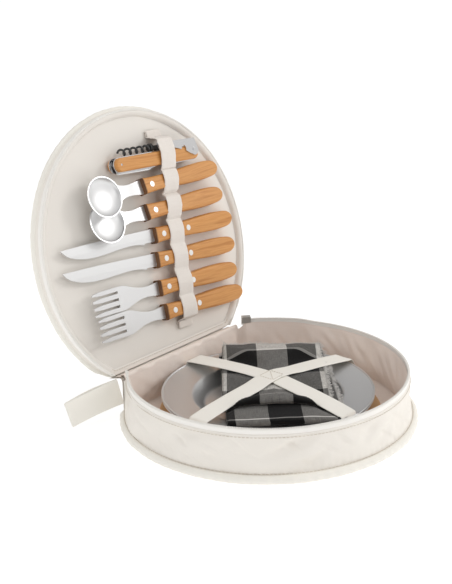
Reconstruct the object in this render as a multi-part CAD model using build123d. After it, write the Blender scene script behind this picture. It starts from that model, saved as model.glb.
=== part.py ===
from build123d import *
import math
import os

# Round zip-up picnic case, opened: the base lies flat, the lid leans back behind it.
# Millimetres. +Z is up, +X runs along the fabric hinge, +Y points from the front to the
# hinge. The origin is the centre of the base's underside.

# ---- driving dimensions of the case ----
CASE_RADIUS = 131.5          # outside of the canvas side band
HINGE_Y = 104.0              # straight back edge of the case, and the hinge axis
HINGE_Z = 38.5               # height of the fold
OPEN_ANGLE = 105.0           # how far the lid stands open
BASE_HEIGHT = 46.2           # top of the base's zip tape
CLOSED_HEIGHT = 60.0         # outside of the lid above the table when shut
CANVAS = 2.0                 # side band with its seam allowance
SPINE = 2.4                  # folded double canvas at the hinge
HALF_HINGE = 79.0            # half the length of the fold
FLOOR_CANVAS = 1.4
FLOOR_BOARD = 1.6
LINING = 0.6
LID_LINING_Z = 51.0          # inside face of the lid, in the shut position
ZIP_TAPE = 4.4               # visible height of each zip tape
TEETH = 0.7
PIPING_RADIUS = 133.2
GAP = 0.3                    # between soft pieces that move past each other

# ---- zip ----
SLIDER_ANGLE = 48.0          # where it parks, at the right end of the hinge
BAIL_OFFSET = 4.7            # the pull's pin, outside the middle of the zip tape
BAIL_RADIUS = 0.7
PULL_LENGTH = 24.0

# ---- contents ----
BOARD_RADIUS = 101.0
BOARD_THICKNESS = 6.8
BOARD_CENTRE = (-2, -4)
PLATE_RADIUS = 97.0
PLATE_SHEET = 0.7
PLATE_HEIGHT = 12.8
PLATE_NEST = 2.9
NAPKIN_TURN = -48.7          # the napkins lie askew in the case
NAPKIN_SIZE = (100, 160)
NAPKIN_CENTRE = (7, 4)
STRAP_WIDTH = 20.0
STRAP = 0.9

# ---- cutlery ----
HANDLE_LENGTH = 110.0
HANDLE_THICK = 11.0
HANDLE_HALF_WIDTH = 8.8
TANG_START = 42.0
TANG_WIDTH = 10.4
STEEL = 1.6
RIVET_RADIUS = 2.8
RIVET_PLACES = (66.0, 100.0)
KNIFE_LENGTH = 225.0
FORK_LENGTH = 199.0
SPOON_LENGTH = 183.0
SERRATIONS = 40
TAPE_WIDTH = 19.0
TAPE = 1.1
TAPE_TOP = (36.8, 90.0)      # a point on the tape's line, as (u, v)
TAPE_SLANT = 4.9             # degrees from straight up the lid

# name: handle end (u, v), tilt, pitch, roll, height of the handle's middle above the lining
UTENSIL_PLACES = {
    "spoon_1": ((107.2, 55.9), 0.8, 2.85, 8, 6.5),
    "spoon_2": ((106.3, 28.9), 2.1, 1.5, 10, 6.7),
    "knife_1": ((113.0, 2.9), 3.5, 0, 0, 5.9),
    "knife_2": ((108.4, -23.2), 5.1, 0, 0, 5.9),
    "fork_1": ((103.4, -48.3), 4.3, 0, 0, 5.9),
    "fork_2": ((104.2, -71.9), 4.2, 0, 0, 5.9),
}
CORKSCREW_PLACE = ((81.5, 77.4), 3.4, 0, 0, 8.7)

# ---- corkscrew ----
CORKSCREW_LENGTH = 112.0
CORKSCREW_WIDTH = 14.6
CORKSCREW_THICK = 17.4       # over the lever
CHEEK = 1.2                  # the lever's plate, in front of the scale
SCALE_THICK = 3.4
LINER = 1.0
CHANNEL = 2.7                # half the gap between the liners
PIN_RADIUS = 1.2
LEVER_PIVOT = (7.0, -1.0)
WORM_PIVOT = (49.0, -1.0)
BLADE_PIVOT = (105.0, 1.0)
WORM_RADIUS = 2.7
WORM_WIRE = 1.05
WORM_PITCH = 8.0
WORM_AXIS_Y = -10.0

LID_OPEN = Pos(0, HINGE_Y, HINGE_Z) * Rot(-OPEN_ANGLE, 0, 0) * Pos(0, -HINGE_Y, -HINGE_Z)
# The lid's own frame: u along the hinge, v towards its top, w out of its lining.
LID_FRAME = LID_OPEN * Pos(0, 0, LID_LINING_Z) * Rot(180, 0, 0)


def d_shape(radius, back):
    """A circle with its back cut off straight."""
    return Circle(radius) & (Pos(0, back - 200) * Rectangle(400, 400))


def slab(radius, back, low, high):
    return Pos(0, 0, low) * extrude(d_shape(radius, back), high - low)


def band(outer, inner, back, low, high):
    """A curved wall that stops at the hinge."""
    ring = (Circle(outer) - Circle(inner)) & (Pos(0, back - 200) * Rectangle(400, 400))
    return Pos(0, 0, low) * extrude(ring, high - low)


def block(x, y, z):
    """A box from three (low, high) pairs."""
    size = [high - low for low, high in (x, y, z)]
    middle = [(low + high) / 2 for low, high in (x, y, z)]
    return Pos(*middle) * Box(*size)


# ---- base ----
def base_parts():
    inner = CASE_RADIUS - CANVAS
    spine_low = HINGE_Y - SPINE / 2
    spine_high = HINGE_Y + SPINE / 2
    board_top = FLOOR_CANVAS + FLOOR_BOARD
    tape_low = BASE_HEIGHT - ZIP_TAPE
    parts = {}
    parts["base_floor_panel"] = slab(CASE_RADIUS - 0.1, spine_high, 0, FLOOR_CANVAS)
    parts["base_floor_board"] = slab(inner - 0.9, spine_low - 0.9, FLOOR_CANVAS, board_top)
    parts["base_side_band"] = band(CASE_RADIUS, inner, spine_low - GAP, FLOOR_CANVAS, tape_low)
    parts["base_zip_tape"] = band(CASE_RADIUS, inner, spine_low - GAP, tape_low, BASE_HEIGHT)
    parts["base_zip_teeth"] = band(
        CASE_RADIUS - 0.4, inner + 0.4, spine_low - GAP, BASE_HEIGHT, BASE_HEIGHT + TEETH
    )
    lining = slab(inner - 0.2, spine_low - 0.2, board_top, BASE_HEIGHT - 1)
    hollow = slab(inner - 0.2 - LINING, spine_low - 0.2 - LINING, board_top + LINING, 90)
    above_fold = block((-200, 200), (spine_low - 2, 200), (HINGE_Z - 4, 90))
    parts["base_lining"] = lining - hollow - above_fold
    roll = d_shape(PIPING_RADIUS, spine_high + 1.7) - d_shape(CASE_RADIUS + 0.1, spine_high + 0.1)
    parts["base_bottom_piping"] = extrude(roll, 8)
    along = (-HALF_HINGE, HALF_HINGE)
    leaf = block(along, (spine_low, spine_high), (FLOOR_CANVAS, HINGE_Z - 3.6))
    neck = block(along, (HINGE_Y - 0.8, HINGE_Y + 0.8), (HINGE_Z - 4, HINGE_Z))
    fold = Pos(0, HINGE_Y, HINGE_Z) * Rot(0, 90, 0) * Cylinder(1.6, 2 * HALF_HINGE)
    parts["base_spine"] = leaf + neck + fold
    return parts


def cross_straps():
    reach = CASE_RADIUS - CANVAS - LINING - 3
    level = strap_level()
    half = STRAP_WIDTH / 2
    back = HINGE_Y - SPINE / 2 - LINING - 0.6
    return {
        "strap_front_to_back": block(
            (6.6 - half, 6.6 + half), (-reach + 1, back), (level, level + STRAP)
        ),
        "strap_side_to_side": block(
            (-reach, reach), (0.7 - half, 0.7 + half), (level + 1.1, level + 1.1 + STRAP)
        ),
    }


def carry_handle():
    """A flat loop of webbing sewn into the rear left corner; its fold lies on the table."""
    root = Vector(-86.5, 103.2, 26.5)
    fold = Vector(-134.5, 123, 13.2)
    along = Vector(fold.X - root.X, fold.Y - root.Y, 0).normalized()
    sections = [
        Plane(origin=place, x_dir=(0, 0, 1), z_dir=along) * Rectangle(25, 2.4)
        for place in (root, fold)
    ]
    return loft(sections)


# ---- lid, built shut and then swung open ----
def lid_parts():
    inner = CASE_RADIUS - CANVAS
    back = HINGE_Y - SPINE / 2 - GAP
    zip_back = back - 14
    teeth_low = BASE_HEIGHT + TEETH + GAP
    tape_low = teeth_low + TEETH
    tape_high = tape_low + ZIP_TAPE
    panel_low = CLOSED_HEIGHT - FLOOR_CANVAS
    shut = {}
    shut["lid_outer_panel"] = slab(CASE_RADIUS - 0.1, back, panel_low, CLOSED_HEIGHT)
    shut["lid_padded_board"] = slab(inner - 0.5, back - 0.5, LID_LINING_Z + 1, panel_low - 0.2)
    shut["lid_lining"] = slab(inner - 0.2, back - 0.2, LID_LINING_Z, LID_LINING_Z + 0.9)
    shut["lid_side_band"] = band(CASE_RADIUS, inner, back, tape_high, panel_low)
    shut["lid_zip_tape"] = band(CASE_RADIUS, inner, zip_back, tape_low, tape_high)
    shut["lid_zip_teeth"] = band(CASE_RADIUS - 0.4, inner + 0.4, zip_back, teeth_low, tape_low)
    roll = band(PIPING_RADIUS, CASE_RADIUS + 0.1, back, tape_high + 0.4, CLOSED_HEIGHT)
    shut["lid_piping"] = roll
    spine_depth = (HINGE_Y - SPINE / 2, HINGE_Y + SPINE / 2)
    spine_height = (HINGE_Z + 3.8, CLOSED_HEIGHT)
    shut["lid_spine"] = block((-HALF_HINGE, HALF_HINGE), spine_depth, spine_height)
    return {name: LID_OPEN * solid for name, solid in shut.items()}


def place_in_lid(place):
    (u, v), tilt, pitch, roll, height = place
    turn = Rot(0, 0, 180 - tilt) * Rot(0, -pitch, 0) * Rot(roll, 0, 0)
    return LID_FRAME * Pos(u, v, height) * turn


def tape_crossing(place):
    """Distance along a utensil from its handle end to the middle of the tape."""
    (u, v), tilt = place[0], math.radians(place[1])
    top = TAPE_TOP
    slope = math.tan(math.radians(TAPE_SLANT))
    # The tape's line is u = top_u - (top_v - v) * slope; the utensil's is (u - s cos, v + s sin).
    return (u - top[0] + (top[1] - v) * slope) / (math.cos(tilt) + math.sin(tilt) * slope)


def loop_size(place):
    """Room inside one loop: width, how far its middle sits towards +y, and thickness."""
    if place is CORKSCREW_PLACE:
        return 28.4, -2.6, CORKSCREW_THICK + 0.9
    return 2 * HANDLE_HALF_WIDTH + 1, 0, HANDLE_THICK + 0.9


def cutlery_tape():
    """One tape over every handle, sewn down between them."""
    places = list(UTENSIL_PLACES.values()) + [CORKSCREW_PLACE]
    foot = Pos(29.4, 3.0, 0.3) * Rot(0, 0, -TAPE_SLANT) * Box(TAPE_WIDTH, 190, 0.6)
    loops = LID_FRAME * foot
    for place in places:
        along = tape_crossing(place)
        (u, v), tilt = place[0], math.radians(place[1])
        width, shift, thick = loop_size(place)
        crown = place[4] + thick / 2 + 1.2 + along * math.sin(math.radians(place[2]))
        height = crown + TAPE
        middle = (u - along * math.cos(tilt), v + along * math.sin(tilt) - shift, height / 2)
        box = Box(TAPE_WIDTH, width + 4.6, height)
        loops = loops + LID_FRAME * Pos(*middle) * Rot(0, 0, -place[1]) * box
    for place in places:
        width, shift, thick = loop_size(place)
        tunnel = Pos(HANDLE_LENGTH / 2, shift, 0) * Box(3 * HANDLE_LENGTH, width, thick)
        loops = loops - place_in_lid(place) * tunnel
    return loops


# ---- one utensil: x runs from the handle end to the tip, +z faces out of the lid ----
def handle_blank():
    half = HANDLE_HALF_WIDTH
    side = [(HANDLE_LENGTH, 7.9), (68, 7.3), (30, half), (12, 8.1), (2.5, 4.9)]
    round_end = side + [(0, 0)] + [(x, -y) for x, y in reversed(side)]
    rim = Spline(*round_end)
    blank = extrude(make_face([rim, Line(rim @ 1, rim @ 0)]), HANDLE_THICK / 2, both=True)
    flats = blank.faces().sort_by(Axis.Z)
    edges = flats[0].edges() + flats[-1].edges()
    return fillet([edge for edge in edges if edge.center().X < HANDLE_LENGTH - 1], 2.6)


def rivets():
    pins = [Pos(x, 0, 0) * Cylinder(RIVET_RADIUS, HANDLE_THICK + 0.5) for x in RIVET_PLACES]
    return [fillet(pin.edges(), 0.24) for pin in pins]


def rivet_holes():
    return [Pos(x, 0, 0) * Cylinder(RIVET_RADIUS, HANDLE_THICK + 5) for x in RIVET_PLACES]


def tang():
    half = TANG_WIDTH / 2
    return block((TANG_START, HANDLE_LENGTH), (-half, half), (-STEEL / 2, STEEL / 2))


def wooden_handle():
    return handle_blank() - tang() - rivet_holes()


def curved_plate(outline, line, thickness):
    """A flat outline bent to follow a side profile."""
    low = [(x, z - thickness / 2) for x, z in line]
    high = [(x, z + thickness / 2) for x, z in line]
    bottom = Spline(*low)
    top = Spline(*high)
    edge = make_face([bottom, Line(low[-1], high[-1]), top, Line(low[0], high[0])])
    ribbon = extrude(Plane.XZ * edge, 40, both=True)
    return extrude(outline, 30, both=True) & ribbon


def knife_blade():
    heel = HANDLE_LENGTH
    tip = (KNIFE_LENGTH, -5.9)
    notch = [(heel + 14, 6.9), (heel + 12, 5.4), (heel + 6, 5.8), (heel, 6.0), (heel, -6.5)]
    spine = Spline((heel, -6.5), (166, -6.8), (202, -6.5), tip)
    edge = Spline((heel + 14, 6.9), (176, 6.8), (205, 5.2), (216, 1.6), tip)
    outline = make_face([spine, edge, Polyline(*notch)])
    half = STEEL / 2
    wedge = [(-12, -half), (1, -half), (9.5, -0.12), (9.5, 0.12), (1, half), (-12, half)]
    ground = extrude(Plane.YZ * make_face(Polyline(*wedge, close=True)), KNIFE_LENGTH + 5)
    blade = extrude(outline, 5, both=True) & ground
    teeth = []
    for step in range(SERRATIONS):
        point = edge @ (0.02 + 0.86 * step / SERRATIONS)
        teeth.append(Pos(point.X, point.Y + 0.3, 0) * Cylinder(0.95, 6))
    return blade - teeth + tang() - rivet_holes()


def stem_outline(side, start, end):
    """A symmetric neck from the handle; side lists (x, half width)."""
    left = Spline(*side, tangents=[(1, start), (1, end)])
    right = Spline(*[(x, -y) for x, y in side], tangents=[(1, -start), (1, -end)])
    return left, right


def fork_head():
    neck = HANDLE_LENGTH
    shoulder = neck + 54
    side = [(neck, 6.4), (neck + 16, 4.9), (neck + 28, 6.4), (neck + 42, 10.8), (shoulder, 11.5)]
    left, right = stem_outline(side, -0.1, 0)
    taper = FORK_LENGTH - 9
    tips = [(shoulder, 11.5), (taper, 11.2), (FORK_LENGTH, 10.1)]
    tips = Polyline(*tips, *[(x, -y) for x, y in reversed(tips)])
    outline = make_face([left, tips, right, Line(left @ 0, right @ 0)])
    slot_start = FORK_LENGTH - 36
    for y in (-6.4, 0, 6.4):
        slot = Pos(slot_start + 16, y) * Rectangle(32, 2.3)
        mouth = [(taper - 4, y - 1.15), (FORK_LENGTH + 2, y - 2.3)]
        mouth = mouth + [(x, 2 * y - z) for x, z in reversed(mouth)]
        flare = make_face(Polyline(*mouth, close=True))
        outline = outline - slot - flare - Pos(slot_start, y) * Circle(1.4)
    line = [(neck, 0), (neck + 18, -0.2), (neck + 42, -1.0), (neck + 66, 1.6)]
    line.append((FORK_LENGTH + 1, 7.0))
    return curved_plate(outline, line, STEEL) + tang() - rivet_holes()


def spoon_head():
    neck = HANDLE_LENGTH
    length, width, depth, sheet = 21.0, 19.3, 7.6, 1.1
    rim = 3.0
    bowl_x = SPOON_LENGTH - length
    middle = Pos(bowl_x, 0, rim)
    side = [(neck, 7.0), (neck + 14, 5.6), (neck + 26, 5.7), (neck + 36, 9.0), (neck + 42, 13.6)]
    left, right = stem_outline(side, -0.12, 0.9)
    outline = make_face([left, Line(left @ 1, right @ 1), right, Line(left @ 0, right @ 0)])
    top = rim - STEEL / 2
    line = [(neck, 0), (neck + 10, 0.2), (neck + 24, 1.7), (neck + 34, top), (neck + 44, top)]
    stem = curved_plate(outline, line, STEEL)
    outside = middle * scale(Sphere(1), by=(length, width, depth))
    inside = middle * scale(Sphere(1), by=(length - sheet, width - sheet, depth - sheet))
    below_rim = block((0, 400), (-60, 60), (-60, rim))
    bowl = outside & below_rim
    return (stem + bowl) - inside + tang() - rivet_holes()


HEADS = {"spoon": spoon_head, "knife": knife_blade, "fork": fork_head}


def utensil_parts():
    handle = wooden_handle()
    pins = rivets()
    parts = {}
    for name, place in UTENSIL_PLACES.items():
        kind = name.split("_")[0]
        where = place_in_lid(place)
        head = HEADS[kind]()
        head_name = f"{name}_blade" if kind == "knife" else f"{name}_head"
        parts[head_name] = where * head
        parts[f"{name}_handle"] = where * handle
        parts[f"{name}_rivets"] = Compound([where * pin for pin in pins])
    return parts


# ---- corkscrew: x runs from the lever's pivot end to the other end, +y is its lower edge ----
def corkscrew_outline(inset):
    length = CORKSCREW_LENGTH - 2 * inset
    width = CORKSCREW_WIDTH - 2 * inset
    return Pos(CORKSCREW_LENGTH / 2, 1.2) * RectangleRounded(length, width, width / 2 - 0.1)


def pin(place, half_length):
    return Pos(place[0], place[1], 0) * Cylinder(PIN_RADIUS, 2 * half_length)


def corkscrew_parts():
    outside = CHANNEL + LINER
    pivots = (LEVER_PIVOT, WORM_PIVOT, BLADE_PIVOT)
    holes = [pin(place, 20) for place in pivots]
    liner = extrude(corkscrew_outline(0), LINER)
    between = (-CHANNEL, CHANNEL)
    spacer = block((18, 39), (-0.4, 3), between) + block((59, 93), (-2.2, 1.2), between)
    frame = Pos(0, 0, CHANNEL) * liner + Pos(0, 0, -outside) * liner + spacer - holes
    scale_blank = extrude(corkscrew_outline(0.7), SCALE_THICK)
    scale_blank = fillet(scale_blank.faces().sort_by(Axis.Z)[-1].edges(), 1.8)
    front = Pos(0, 0, outside) * scale_blank - holes
    back = Rot(180, 0, 0) * Pos(0, -2.4, outside) * scale_blank - holes
    reach = outside + SCALE_THICK
    lever_rivet = Pos(*LEVER_PIVOT, reach + CHEEK + 0.4) * Cylinder(2.4, 0.5)
    pins = [pin(place, reach - 0.3) for place in pivots[1:]]
    through = Pos(*LEVER_PIVOT, CHEEK / 2 + 0.2) * Cylinder(PIN_RADIUS, 2 * reach + CHEEK + 0.4)
    parts = {
        "corkscrew_frame": frame,
        "corkscrew_scale_front": front,
        "corkscrew_scale_back": back,
        "corkscrew_pins": Compound(pins + [through + lever_rivet]),
        "corkscrew_lever": corkscrew_lever(),
        "corkscrew_worm": corkscrew_worm(),
        "corkscrew_foil_blade": foil_blade(),
    }
    where = place_in_lid(CORKSCREW_PLACE)
    return {name: where * solid for name, solid in parts.items()}


def running_hole(place):
    return Pos(place[0], place[1], 0) * Cylinder(PIN_RADIUS + 0.05, 40)


def corkscrew_lever():
    """Notched lever with a bottle opener's hook, folded over the front of the frame."""
    x, y = LEVER_PIVOT
    root = Pos(x, y) * Circle(5.2)
    corners = [(x - 4.6, y - 2), (x - 2, -12.4), (56, -13.5), (56, -9.4), (36, -6.8)]
    corners += [(24, -3.2), (x + 12, -1.6), (x + 5, 2.6), (x, y + 2)]
    arm = make_face(Polyline(*corners, close=True))
    mouth = Pos(x + 14.5, -3.4) * Ellipse(3.1, 3.5)
    notch = Pos(38, -7.6) * Circle(2.2)
    front = CHANNEL + LINER + SCALE_THICK + 0.1
    plate = Pos(0, 0, front) * extrude(root + arm - mouth - notch, CHEEK)
    return plate - running_hole(LEVER_PIVOT)


def corkscrew_worm():
    x, y = WORM_PIVOT
    turns_start = x + 10
    root = extrude(Pos(x, y) * Circle(3.4), 2.2, both=True)
    low, high = WORM_AXIS_Y - 1.6, WORM_AXIS_Y + 1.6
    corners = [(x - 2, y - 2), (x + 1, low), (turns_start + 3, low), (turns_start + 3, high)]
    corners += [(x + 4, high + 0.6), (x + 3, y)]
    neck = extrude(make_face(Polyline(*corners, close=True)), 1.6, both=True)
    helix = Helix(WORM_PITCH, 5 * WORM_PITCH, WORM_RADIUS)
    wire = sweep(Plane(origin=helix @ 0, z_dir=helix % 0) * Circle(WORM_WIRE), path=helix)
    wire = Pos(turns_start, WORM_AXIS_Y, 0) * Rot(0, 90, 0) * wire
    collar = Cylinder(WORM_RADIUS + WORM_WIRE + 0.2, 3)
    joint = Pos(turns_start, WORM_AXIS_Y, 0) * Rot(0, 90, 0) * collar
    return root + neck + joint + wire - running_hole(WORM_PIVOT)


def foil_blade():
    x, y = BLADE_PIVOT
    edge = Spline((70, 10.4), (62, 9.4), (56, 6.0))
    ahead = Polyline((x + 3, y), (x + 2, 9.8), (70, 10.4))
    behind = Polyline((56, 6.0), (60, 5.4), (95, 5.4), (x - 4, y - 1), (x, y - 3), (x + 3, y))
    plate = extrude(make_face([ahead, edge, behind]) + Pos(x, y) * Circle(3.6), 0.6, both=True)
    nick = Pos(84, 8.6, 0.9) * Box(11, 1.2, 0.9)
    return plate - nick - running_hole(BLADE_PIVOT)


# ---- contents of the base ----
def board_level():
    return FLOOR_CANVAS + FLOOR_BOARD + LINING + GAP


def plate_level(index):
    return board_level() + BOARD_THICKNESS + 0.2 + index * PLATE_NEST


def napkin_level():
    return plate_level(1) + PLATE_HEIGHT + 1.7


def strap_level():
    return napkin_level() + 3.5


def cutting_board():
    blank = Pos(*BOARD_CENTRE, board_level()) * extrude(Circle(BOARD_RADIUS), BOARD_THICKNESS)
    return fillet(blank.edges(), 2.0)


def plate(index, shift):
    rim = PLATE_RADIUS - 1
    line = [(0, 0), (58, 0), (69, 9.4), (rim, PLATE_HEIGHT)]
    low = FilletPolyline(*line, radius=5)
    high = FilletPolyline(*[(r, z + PLATE_SHEET) for r, z in line], radius=5)
    sheet = make_face([low, Line(low @ 1, high @ 1), high, Line(low @ 0, high @ 0)])
    bead = Pos(rim, PLATE_HEIGHT + PLATE_SHEET / 2) * Circle(1.0)
    dish = revolve(Plane.XZ * sheet, Axis.Z) + revolve(Plane.XZ * bead, Axis.Z)
    return Pos(shift, shift, plate_level(index)) * dish


def napkins():
    low = napkin_level()
    lie = Pos(*NAPKIN_CENTRE, 0) * Rot(0, 0, NAPKIN_TURN)
    width, depth = NAPKIN_SIZE
    under = lie * Pos(0, 0, low) * extrude(RectangleRounded(width, depth, 6), 1.4)
    sag = Pos(0, 0, plate_level(1) + 2) * extrude(Circle(38), low - plate_level(1) - 2)
    over = lie * Pos(2, 6, low + 1.7) * extrude(RectangleRounded(width - 6, depth - 24, 6), 1.5)
    return {"napkin_lower": under + sag, "napkin_upper": over}


# ---- zip ----


def zip_frame():
    """Origin on the zip's line where the slider parks; x outwards, y along the zip."""
    middle = CASE_RADIUS - CANVAS / 2
    return Rot(0, 0, SLIDER_ANGLE) * Pos(middle, 0, BASE_HEIGHT)


def zip_slider():
    body = block((-3.6, 2.6), (-4.5, 4.5), (-3.0, 3.0))
    slot = block((-2.4, 1.3), (-6, 6), (-4.0, 1.0))
    ears = [block((2.6, 5.8), side, (-1.4, 1.4)) for side in ((-3.4, -2.5), (2.5, 3.4))]
    bail = Pos(BAIL_OFFSET, 0, 0) * Rot(90, 0, 0) * Cylinder(BAIL_RADIUS, 6.8)
    return zip_frame() * (body - slot + ears + bail)


def zip_pull():
    eye = Pos(BAIL_OFFSET, 0, 0) * Rot(90, 0, 0) * Cylinder(1.7, 4.4)
    tab = block((BAIL_OFFSET - 0.6, BAIL_OFFSET + 0.6), (-2.2, 2.2), (-PULL_LENGTH, 0))
    end = Pos(BAIL_OFFSET, 0, -PULL_LENGTH) * Rot(0, 90, 0) * Cylinder(3.2, 1.2)
    bore = Pos(BAIL_OFFSET, 0, 0) * Rot(90, 0, 0) * Cylinder(BAIL_RADIUS + 0.05, 20)
    finger_hole = Pos(BAIL_OFFSET, 0, -PULL_LENGTH) * Rot(0, 90, 0) * Cylinder(1.3, 6)
    return zip_frame() * (eye + tab + end - bore - finger_hole)


def everything():
    parts = {}
    parts.update(base_parts())
    parts.update(cross_straps())
    parts["carry_handle"] = carry_handle()
    parts.update(lid_parts())
    parts["cutlery_tape"] = cutlery_tape()
    parts.update(utensil_parts())
    parts.update(corkscrew_parts())
    parts["cutting_board"] = cutting_board()
    parts["lower_plate"] = plate(0, 0)
    parts["upper_plate"] = plate(1, -0.7)
    parts.update(napkins())
    parts["zip_slider"] = zip_slider()
    parts["zip_pull"] = zip_pull()
    return parts


os.makedirs("parts", exist_ok=True)
for node, solid in everything().items():
    export_step(solid, f"parts/{node}.step")
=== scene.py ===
import math

import bpy
import numpy as np
from mathutils import Matrix, Vector, noise


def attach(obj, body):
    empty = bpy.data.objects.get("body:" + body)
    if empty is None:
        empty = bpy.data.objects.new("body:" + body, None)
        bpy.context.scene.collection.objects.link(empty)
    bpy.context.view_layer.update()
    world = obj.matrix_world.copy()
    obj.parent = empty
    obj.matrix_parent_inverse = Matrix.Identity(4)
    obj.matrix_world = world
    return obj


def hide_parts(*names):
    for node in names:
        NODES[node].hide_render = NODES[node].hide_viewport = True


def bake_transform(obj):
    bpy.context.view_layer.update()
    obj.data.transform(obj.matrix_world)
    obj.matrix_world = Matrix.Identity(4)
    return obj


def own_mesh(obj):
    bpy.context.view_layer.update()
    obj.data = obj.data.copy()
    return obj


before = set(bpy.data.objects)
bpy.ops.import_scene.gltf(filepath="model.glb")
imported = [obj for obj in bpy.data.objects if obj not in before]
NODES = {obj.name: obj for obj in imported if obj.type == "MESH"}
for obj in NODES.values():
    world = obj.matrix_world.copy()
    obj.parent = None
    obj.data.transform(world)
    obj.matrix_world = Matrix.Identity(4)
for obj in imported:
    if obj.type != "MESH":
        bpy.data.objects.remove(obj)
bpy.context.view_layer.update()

# Sizes repeated from the CAD source, in metres.
RADIUS = 0.1315
BACK = 0.104
HINGE_Z = 0.0385
OPEN = math.radians(105)
LINING_Z = 0.051
WALL_LEAN = 0.0032
FORK_END = (0.107, 0.074)
MIDDLE = (0, -0.012)
LID = (
    Matrix.Translation((0, BACK, HINGE_Z))
    @ Matrix.Rotation(-OPEN, 4, "X")
    @ Matrix.Translation((0, -BACK, LINING_Z - HINGE_Z))
    @ Matrix.Rotation(math.pi, 4, "X")
)
OUT_OF_LID = LID.to_3x3() @ Vector((0, 0, 1))
# name: handle end (u, v), tilt, pitch, roll, height of its middle above the lining
PLACES = {
    "spoon_1": ((0.1072, 0.0559), 0.8, 2.85, 8, 0.0065),
    "spoon_2": ((0.1063, 0.0289), 2.1, 1.5, 10, 0.0067),
    "knife_1": ((0.1130, 0.0029), 3.5, 0, 0, 0.0059),
    "knife_2": ((0.1084, -0.0232), 5.1, 0, 0, 0.0059),
    "fork_1": ((0.1034, -0.0483), 4.3, 0, 0, 0.0059),
    "fork_2": ((0.1042, -0.0719), 4.2, 0, 0, 0.0059),
    "corkscrew": ((0.0815, 0.0774), 3.4, 0, 0, 0.0087),
}


def place(name):
    """A utensil's own frame: x from its handle end to its tip, z out of the lid."""
    (u, v), tilt, pitch, roll, height = PLACES[name]
    turn = (
        Matrix.Rotation(math.radians(180 - tilt), 4, "Z")
        @ Matrix.Rotation(math.radians(-pitch), 4, "Y")
        @ Matrix.Rotation(math.radians(roll), 4, "X")
    )
    return LID @ Matrix.Translation((u, v, height)) @ turn


# ---------------------------------------------------------------- camera, floor, lights
LENS = 73.84
EYE = (-0.78159, -0.62779, 0.46833)
WORLD_STRENGTH = 0.70
FLOOR_HALF = 40.0
FLOOR_DROP = 0.0002


def camera():
    data = bpy.data.cameras.new("camera")
    data.lens = LENS
    data.clip_start, data.clip_end = 0.05, 30
    obj = bpy.data.objects.new("camera", data)
    bpy.context.scene.collection.objects.link(obj)
    right = Vector((0.64652, -0.76246, -0.0257)).normalized()
    back = Vector((-0.71502, -0.61735, 0.32807)).normalized()
    up = back.cross(right).normalized()
    right = up.cross(back)
    rows = [[right[i], up[i], back[i], EYE[i]] for i in range(3)]
    obj.matrix_world = Matrix(rows + [[0, 0, 0, 1]])
    bpy.context.scene.camera = obj


def area(name, where, target, size, power):
    data = bpy.data.lights.new(name, "AREA")
    data.shape = "RECTANGLE"
    data.size, data.size_y = size
    data.energy = power
    obj = bpy.data.objects.new(name, data)
    bpy.context.scene.collection.objects.link(obj)
    obj.location = where
    obj.rotation_euler = (Vector(target) - Vector(where)).to_track_quat("-Z", "Y").to_euler()


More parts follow.
